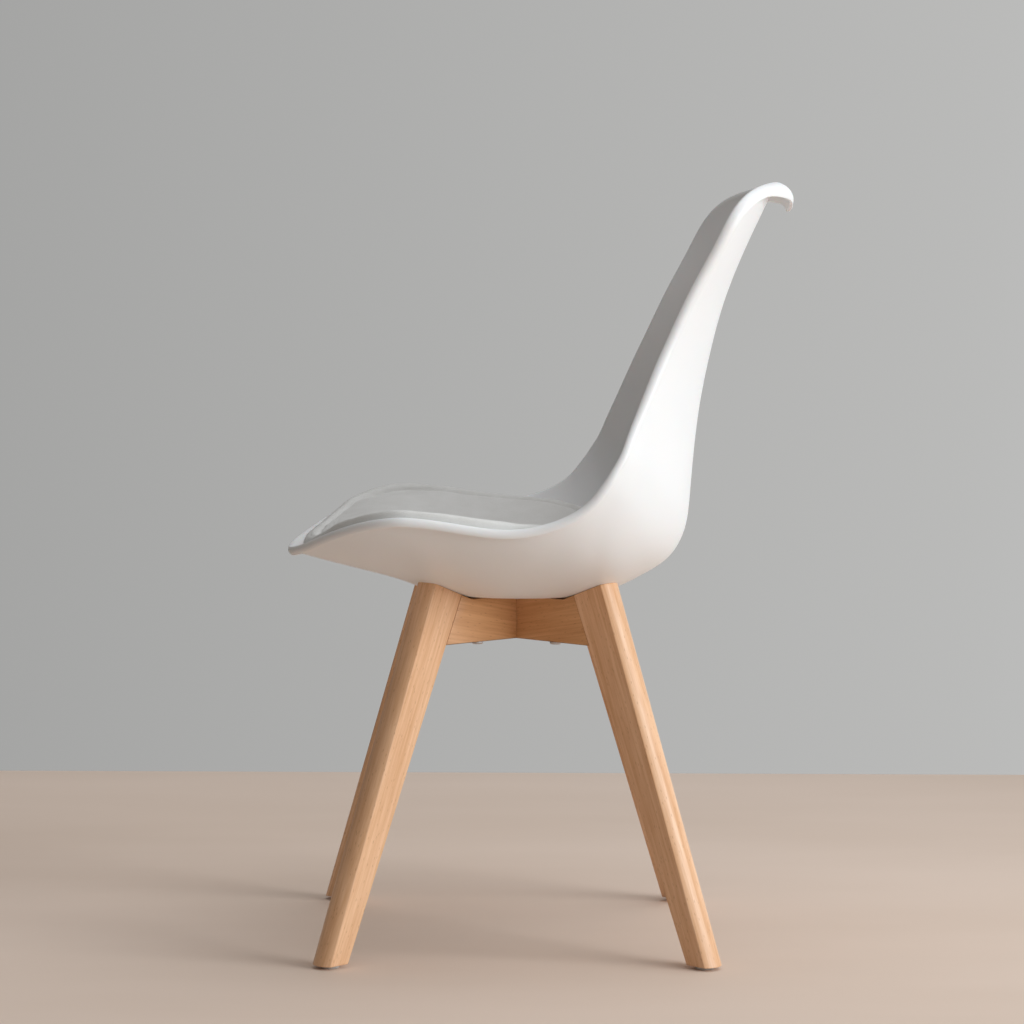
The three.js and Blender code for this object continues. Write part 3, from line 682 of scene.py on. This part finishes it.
# ---------------------------------------------------------------- seat pad
def pad_half(s):
    """Half width of the pad: inside the shell's front edge, and rounded off behind the seat."""
    front = np.maximum(0, 1 - (s - PAD_FRONT) / PAD_FRONT_ROUND)
    rear = np.maximum(0, 1 - (PAD_REAR - s) / PAD_REAR_ROUND)
    share = np.sqrt(np.maximum(0, 1 - front**2)) * np.sqrt(np.maximum(0, 1 - rear**2))
    return np.minimum(line_half(s) * PAD_SIDE * share, half_width(s) * PAD_SIDE)


def pad_rows():
    """Rows of the pad's closed surface, over the top and back underneath, with each top row's
    distance inside the edge."""
    outline = even_outline(pad_half, PAD_FRONT, PAD_REAR, PAD_STEPS)
    reach = ring_grid(outline, PAD_SPINE_START, PAD_SPINE_END, np.array([[0.0], [1.0]]))
    length = np.linalg.norm(reach[1] - reach[0], axis=-1)[:PAD_STEPS + 1]
    border = 2 * SEAM_INSET
    insets = np.concatenate([PAD_ROLL_INSETS, np.arange(PAD_ROLL, border, PAD_BORDER_STEP), [border]])
    inside = np.linspace(0, 1, PAD_RINGS + 1)[:-1, None] * (1 - border / length)
    edge = 1 - insets[::-1, None] / length
    shares = np.concatenate([inside, edge])
    rings = ring_grid(outline, PAD_SPINE_START, PAD_SPINE_END, shares)
    normals = ring_normals(rings)
    shares = whole_way(shares)
    inset = (1 - shares) * whole_way(length)
    upright = (shares**PAD_UPRIGHT)[..., None]
    rise = unit(normals * (1 - upright) + np.array([0, 0, 1]) * upright)
    full = np.maximum(0, 1 - shares**PAD_FLATNESS) ** PAD_FALL
    height = PAD_SHRINK * (PAD_EDGE + (PAD_THICK - PAD_EDGE) * full)
    roll = np.clip(1 - inset / PAD_ROLL, 0, 1)
    height = height * (1 - roll**PAD_ROLL_POWER) ** (1 / PAD_ROLL_POWER)
    top = rings + rise * np.maximum(height, PAD_CLEAR + PAD_LEAST)[..., None]
    under = rings + normals * PAD_CLEAR
    under[..., 2] = np.maximum(under[..., 2], BOARD_TOP_Z)
    under[..., 2] = np.minimum(under[..., 2], top[..., 2])
    return top, under[::-1], inset


# The pad's simulation, in metres
TRIAL_VOXEL = 0.006    # grain of the coarse copy
TRIAL_HELD = 0.05      # the copy is held where the Z part of its normal is below this
TRIAL_STEPS = 20
TRIAL_QUALITY = 6
TRIAL_MASS = 0.25
TRIAL_STIFFNESS = 9
TRIAL_BENDING = 0.4
TRIAL_PRESSURE = 4
NEIGHBOURS = 6         # each point of the pad follows this many points of the copy
NEAR = 0.001           # evens out the weights of the nearest ones


def fill_out(rows, count_top):
    """Cloth simulation of the pad: a coarse copy is blown up, and its movement is passed on to the
    rows of the pad's top, in millimetres."""
    rough = solid_from_rows("pad_trial", in_frame(rows))
    remesh = rough.modifiers.new("remesh", "REMESH")
    remesh.mode = "VOXEL"
    remesh.voxel_size = TRIAL_VOXEL
    graph = bpy.context.evaluated_depsgraph_get()
    mesh = bpy.data.meshes.new_from_object(rough.evaluated_get(graph))
    bpy.data.objects.remove(rough)
    trial = link(mesh, "pad_trial")
    held = trial.vertex_groups.new(name="held")
    held.add([v.index for v in mesh.vertices if v.normal.z < TRIAL_HELD], 1.0, "REPLACE")
    rest = np.array([v.co for v in mesh.vertices])
    cloth = trial.modifiers.new("cloth", "CLOTH")
    cloth.settings.quality = TRIAL_QUALITY
    cloth.settings.mass = TRIAL_MASS
    cloth.settings.tension_stiffness = TRIAL_STIFFNESS
    cloth.settings.compression_stiffness = TRIAL_STIFFNESS
    cloth.settings.bending_stiffness = TRIAL_BENDING
    cloth.settings.use_pressure = True
    cloth.settings.uniform_pressure_force = TRIAL_PRESSURE
    cloth.settings.vertex_group_mass = "held"
    cloth.settings.effector_weights.gravity = 0
    for step in range(1, TRIAL_STEPS + 1):
        bpy.context.scene.frame_set(step)
    graph = bpy.context.evaluated_depsgraph_get()
    moved = np.array([v.co for v in trial.evaluated_get(graph).data.vertices])
    bpy.context.scene.frame_set(1)
    bpy.data.objects.remove(trial)
    move = moved - rest
    size = np.linalg.norm(move, axis=1, keepdims=True)
    limit = SWELL_LIMIT * MM
    move = move * (limit * np.tanh(size / limit) / np.maximum(size, 1e-9))
    tree = KDTree(len(rest))
    for i, point in enumerate(rest):
        tree.insert(point, i)
    tree.balance()
    points = in_frame(rows[:count_top]).reshape(-1, 3)
    passed = np.zeros_like(points)
    for i, point in enumerate(points):
        near = tree.find_n(point, NEIGHBOURS)
        weights = np.array([1 / (distance + NEAR) ** 2 for _, _, distance in near])
        passed[i] = weights @ move[[index for _, index, _ in near]] / weights.sum()
    return passed.reshape(rows[:count_top].shape) / MM


def make_pad():
    """The stuffed pad: filled out, swollen along its border and drawn in along its seam."""
    top, under, inset = pad_rows()
    rows = np.concatenate([top, under])
    top = top + fill_out(rows, len(top)) * np.clip(inset / PAD_ROLL, 0, 1)[..., None]
    normals = ring_normals(top)
    swell = ROLL_RISE * np.sin(np.pi * np.clip(inset / SEAM_INSET, 0, 1)) ** ROLL_POWER
    seam = SEAM_DEPTH * np.exp(-(((inset - SEAM_INSET) / SEAM_HALF) ** 2))
    top = top + normals * (swell - seam)[..., None]
    pad = solid_from_rows("seat_pad", in_frame(np.concatenate([top, under])))
    stand_for(pad, leatherette(), "pad_cover", "pad_cover", "pad_foam")


# ---------------------------------------------------------------- legs and rails
def turned_place(turn):
    """Matrix that stands a piece made along +X in its corner of the base."""
    return Matrix.Translation(BASE) @ Matrix.Rotation(math.radians(turn), 4, "Z")


def edge_top(radius, lean):
    """Height at which a straight edge of a leg meets the sloping top."""
    level = RAIL_TOP + TOP_SLOPE * (radius - lean * LEG_FOOT_Z - RAIL_FLAT)
    return level / (1 - TOP_SLOPE * lean)


def inner_face_at(z):
    """Distance of a leg's inner face from the middle, at a height."""
    return LEG_INNER + LEG_INNER_LEAN * (z - LEG_FOOT_Z)


def leg_outlines():
    """A leg's foot and head, each once round: two inner corners, then the crowned outer face."""
    half = TIMBER / 2
    arc = (half**2 + LEG_CROWN**2) / (2 * LEG_CROWN)
    edges = [(LEG_INNER, LEG_INNER_LEAN, half), (LEG_INNER, LEG_INNER_LEAN, -half)]
    for k in range(CROWN_STEPS + 1):
        side = half * (2 * k / CROWN_STEPS - 1)
        crown = math.sqrt(arc**2 - side**2) - (arc - LEG_CROWN)
        edges.append((LEG_OUTER + crown, LEG_OUTER_LEAN, side))
    foot = [Vector((radius, side, LEG_FOOT_Z)) * MM for radius, lean, side in edges]
    head = []
    for radius, lean, side in edges:
        z = edge_top(radius, lean)
        head.append(Vector((radius + lean * (z - LEG_FOOT_Z), side, z)) * MM)
    return foot, head


def make_legs():
    """Four legs, each with a grain of its own."""
    lean = math.atan((LEG_OUTER_LEAN + LEG_INNER_LEAN) / 2)
    foot, head = leg_outlines()
    for k, (name, turn) in enumerate(CORNERS.items()):
        leg = prism(f"beech_leg_{name}", foot, head, LEG_ROUND * MM)
        leg.matrix_world = turned_place(turn)
        wood = beech(f"beech_leg_{k}", (0, -lean, 0), (0.31 * k, 0.17 * k, 0.53 * k),
                     BEECH_PALE, BEECH_DEEP)
        stand_for(leg, wood, "legs", f"leg_{name}")


def rail_outline(notch_from_top):
    """Side view of a rail: slanted ends, a top that rises towards them and a half-lap notch."""
    notch = TIMBER / 2 + GAP
    middle = (RAIL_BOTTOM + RAIL_TOP) / 2
    end_bottom = inner_face_at(RAIL_BOTTOM) - GAP
    end_top_z = edge_top(LEG_INNER - GAP, LEG_INNER_LEAN)
    end_top = inner_face_at(end_top_z) - GAP
    high = middle - GAP / 2
    low = middle + GAP / 2
    upper = [(notch, RAIL_TOP), (notch, high), (-notch, high), (-notch, RAIL_TOP)]
    lower = [(-notch, RAIL_BOTTOM), (-notch, low), (notch, low), (notch, RAIL_BOTTOM)]
    return [(-end_bottom, RAIL_BOTTOM), *([] if notch_from_top else lower), (end_bottom, RAIL_BOTTOM),
            (end_top, end_top_z), (RAIL_FLAT, RAIL_TOP), *(upper if notch_from_top else []),
            (-RAIL_FLAT, RAIL_TOP), (-end_top, end_top_z)]


def crossing(edge):
    """True for an edge that doesn't run along its rail. Those at the ends and in the notch meet a
    neighbour, so they stay sharp."""
    run = edge.verts[1].co - edge.verts[0].co
    return abs(run.z) > run.length / 2 or abs(run.y) > run.length / 2


RAIL_GRAIN_TURN = (0, math.pi / 2 + 0.17, 0)   # along the rail, a little askew


def make_rails():
    """Two rails that cross in a half lap, each with a grain of its own."""
    for k, (name, turn, from_top) in enumerate((("front_left_to_rear_right", -45, True),
                                                ("rear_left_to_front_right", 45, False))):
        outline = rail_outline(from_top)
        sides = [[Vector((x, side * TIMBER / 2, z)) * MM for x, z in outline] for side in (-1, 1)]
        rail = prism(f"beech_rail_{name}", *sides, RAIL_ROUND * MM, crossing)
        rail.matrix_world = turned_place(turn)
        # The rails wear the darker copy of the beech: painted shade and warm bounce light under the
        # seat.
        wood = beech(f"beech_rail_{k}", RAIL_GRAIN_TURN, (0.23 + 0.4 * k, 0.7 * k, 0.11),
                     SHADED_RAIL_PALE, SHADED_RAIL_DEEP)
        stand_for(rail, wood, "rails", f"rail_{name}")


# ---------------------------------------------------------------- fasteners and glides
SOCKET_DISH = 0.1      # a socket's floor is this much deeper in its middle


def socket_head(bottom, under, radius, bevel, bevel_rise, edge_round, mouth, socket, floor, lead, depth,
                shank):
    """Profile of a downward head, from the middle of its socket out to its shank. The socket's mouth
    is round and narrows over the lead, and its hexagon runs on from there to the floor."""
    rim = rounded([(mouth, bottom), (radius - bevel, bottom), (radius, bottom + bevel_rise),
                   (radius, under), (shank, under)], edge_round)
    return [(0, bottom + depth + SOCKET_DISH), (floor, bottom + depth, "hexagon"),
            (socket, bottom + lead, "hexagon"), *rim]


def make_bolts():
    """Four bolts that hold the rails to the shell, with flanged heads under the rails."""
    low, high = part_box("bolt_front_left")
    top = high.z / MM
    head = socket_head(low.z / MM, RAIL_BOTTOM - GAP, radius=6.2, bevel=1.0, bevel_rise=1.1,
                       edge_round=0.45, mouth=2.9, socket=2.4, floor=2.35, lead=0.35, depth=2.2,
                       shank=BOLT_R)
    profile = [*head, (BOLT_R, top - BOLT_CHAMFER), (BOLT_R - BOLT_CHAMFER, top), (0, top)]
    for name in CORNERS:
        middle = box_middle(f"bolt_{name}")
        bolt = turned(f"bolt_and_flange_{name}", profile, (middle.x, middle.y, 0))
        stand_for(bolt, STEEL, "bolts", f"bolt_{name}")


def make_pad_screws():
    """Four screws that hold the pad's board down through the shell, with low heads and a point."""
    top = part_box("pad_screw_front")[1].z / MM
    under = FOOT_Z - GAP
    head = socket_head(under - PAD_SCREW_HEAD, under, radius=4.0, bevel=0.8, bevel_rise=0.7,
                       edge_round=0.4, mouth=1.9, socket=1.6, floor=1.5, lead=0.15, depth=0.9,
                       shank=PAD_SCREW_R)
    profile = [*head, (PAD_SCREW_R, top - PAD_SCREW_POINT), (0, top)]
    for name in ("left", "rear", "right", "front"):
        middle = box_middle(f"pad_screw_{name}")
        screw = turned(f"pad_fixing_{name}", profile, (middle.x, middle.y, 0))
        stand_for(screw, STEEL, "pad_screws", f"pad_screw_{name}")


def make_glides(material):
    """Four glides that stand on the floor, each with a cup for its nail's head."""
    low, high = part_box("glide_front_left")
    radius = (high.x - low.x) / 2 / MM
    top = high.z / MM
    hollow_floor, hollow_mouth = GLIDE_HOLLOW_R
    profile = rounded([(0, GLIDE_HOLLOW), (hollow_floor, GLIDE_HOLLOW), (hollow_mouth, 0),
                       (radius - GLIDE_BEVEL, 0), (radius, GLIDE_BEVEL), (radius, top),
                       (GLIDE_CUP_R, top), (GLIDE_CUP_R, GLIDE_CUP_FLOOR), (0, GLIDE_CUP_FLOOR)], 0.5)
    for name in CORNERS:
        middle = box_middle(f"glide_{name}")
        glide = turned(f"floor_glide_{name}", profile, (middle.x, middle.y, 0))
        stand_for(glide, material, "glides", f"glide_{name}")


def dress_inner_pieces():
    """Materials for the CAD nodes that stay: dowels, inserts, nails and the pad's board."""
    birch = beech("birch_dowel", (0, math.pi / 2, 0), (0.1, 0.2, 0.3), (0.74, 0.58, 0.38),
                  (0.60, 0.44, 0.26))
    board = plywood()
    for name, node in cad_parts.items():
        if name.startswith("dowel_"):
            wear(node, birch)
        elif name.startswith("insert_"):
            wear(node, BRASS)
        elif name.startswith("glide_nail_"):
            wear(node, STEEL)
        elif name == "pad_board":
            wear(node, board)


# ---------------------------------------------------------------- stage, light and camera
FLOOR_FAR_X = -1.2     # the floor's far edge, beyond the chair, in metres
FLOOR_NEAR_X = 3.2
FLOOR_HALF_Y = 3


def make_stage():
    """A plain floor."""
    mesh = bpy.data.meshes.new("floor")
    corners = [(FLOOR_FAR_X, -FLOOR_HALF_Y, 0), (FLOOR_NEAR_X, -FLOOR_HALF_Y, 0),
               (FLOOR_NEAR_X, FLOOR_HALF_Y, 0), (FLOOR_FAR_X, FLOOR_HALF_Y, 0)]
    mesh.from_pydata(corners, [], [(0, 1, 2, 3)])
    floor = link(mesh, "floor")
    wear(floor, pale_floor())


NEUTRAL = (1, 1, 0.985)
WARM = (1, 0.96, 0.90)
COOL = (0.94, 0.98, 1)
# Brightness and colour of the room by the Y part of the direction: dim before the sitter and bright
# behind, where the windows are.
ROOM_LIGHT = {-1: (0.14, WARM), -0.40: (0.16, WARM), -0.20: (0.35, NEUTRAL), 0.16: (0.49, NEUTRAL),
              0.45: (0.70, COOL), 1: (0.64, COOL)}


def make_world():
    """Room light that depends on the direction it comes from."""
    world = bpy.data.worlds.new("studio")
    bpy.context.scene.world = world
    world.use_nodes = True
    tree = world.node_tree
    way = tree.nodes.new("ShaderNodeTexCoord").outputs["Generated"]
    split = tree.nodes.new("ShaderNodeSeparateXYZ")
    share = tree.nodes.new("ShaderNodeMapRange")
    share.inputs["From Min"].default_value = -1
    ramp = tree.nodes.new("ShaderNodeValToRGB")
    tree.links.new(way, split.inputs[0])
    tree.links.new(split.outputs["Y"], share.inputs["Value"])
    tree.links.new(share.outputs["Result"], ramp.inputs["Fac"])
    tree.links.new(ramp.outputs["Color"], tree.nodes["Background"].inputs["Color"])
    band = ramp.color_ramp.elements
    while len(band) < len(ROOM_LIGHT):
        band.new(0.5)
    for element, (at, (level, colour)) in zip(band, sorted(ROOM_LIGHT.items())):
        element.position = (at + 1) / 2
        element.color = (*(level * c for c in colour), 1)


def area_light(name, place, aim, size, power, colour):
    """Rectangular light that faces a point."""
    data = bpy.data.lights.new(name, "AREA")
    data.shape = "RECTANGLE"
    data.size, data.size_y = size
    data.energy = power
    data.color = colour
    light = bpy.data.objects.new(name, data)
    bpy.context.scene.collection.objects.link(light)
    light.location = place
    light.rotation_euler = (Vector(place) - Vector(aim)).to_track_quat("Z", "Y").to_euler()


def make_lights():
    """Window light from behind the sitter, and a weak ceiling light."""
    seat = BASE + Vector((0, 0, 0.5))
    area_light("window", place=(1.7, 3.3, 1.5), aim=seat, size=(2.2, 1.9), power=92,
               colour=(0.92, 0.97, 1.0))
    area_light("ceiling", place=(0.0, 0.5, 3.0), aim=seat, size=(2.2, 2.2), power=21,
               colour=(0.97, 0.97, 1.0))


CAMERA_PLACE = (3.6, -0.0806, 0.7037)   # from the middle of the leg base, in metres
CAMERA_YAW = -0.0210   # radians, as are pitch and roll
CAMERA_PITCH = 0.0671
CAMERA_ROLL = 0.0072
CAMERA_LENS = 116.6    # millimetres, on a sensor as wide as below
CAMERA_SENSOR = 36
CAMERA_CLIP = 50       # metres


def make_camera():
    """Camera that looks along -X at the chair's side, turned by yaw, pitch and roll."""
    data = bpy.data.cameras.new("camera")
    data.lens = CAMERA_LENS
    data.sensor_width = CAMERA_SENSOR
    data.clip_end = CAMERA_CLIP
    camera = bpy.data.objects.new("camera", data)
    bpy.context.scene.collection.objects.link(camera)
    forward = Vector((-math.cos(CAMERA_YAW) * math.cos(CAMERA_PITCH),
                      -math.sin(CAMERA_YAW) * math.cos(CAMERA_PITCH), -math.sin(CAMERA_PITCH)))
    level = Vector((-math.sin(CAMERA_YAW), math.cos(CAMERA_YAW), 0))
    upward = level.cross(forward)
    right = level * math.cos(CAMERA_ROLL) + upward * math.sin(CAMERA_ROLL)
    up = upward * math.cos(CAMERA_ROLL) - level * math.sin(CAMERA_ROLL)
    turn = Matrix((right, up, -forward)).transposed()
    camera.matrix_world = Matrix.Translation(BASE + Vector(CAMERA_PLACE)) @ turn.to_4x4()
    bpy.context.scene.camera = camera


# ---------------------------------------------------------------- the chair
make_camera()
make_shell()
make_pad()
make_legs()
make_rails()
make_bolts()
make_pad_screws()
make_glides(grey_plastic())
dress_inner_pieces()
make_stage()
make_world()
make_lights()
bpy.context.scene.view_settings.view_transform = "Standard"
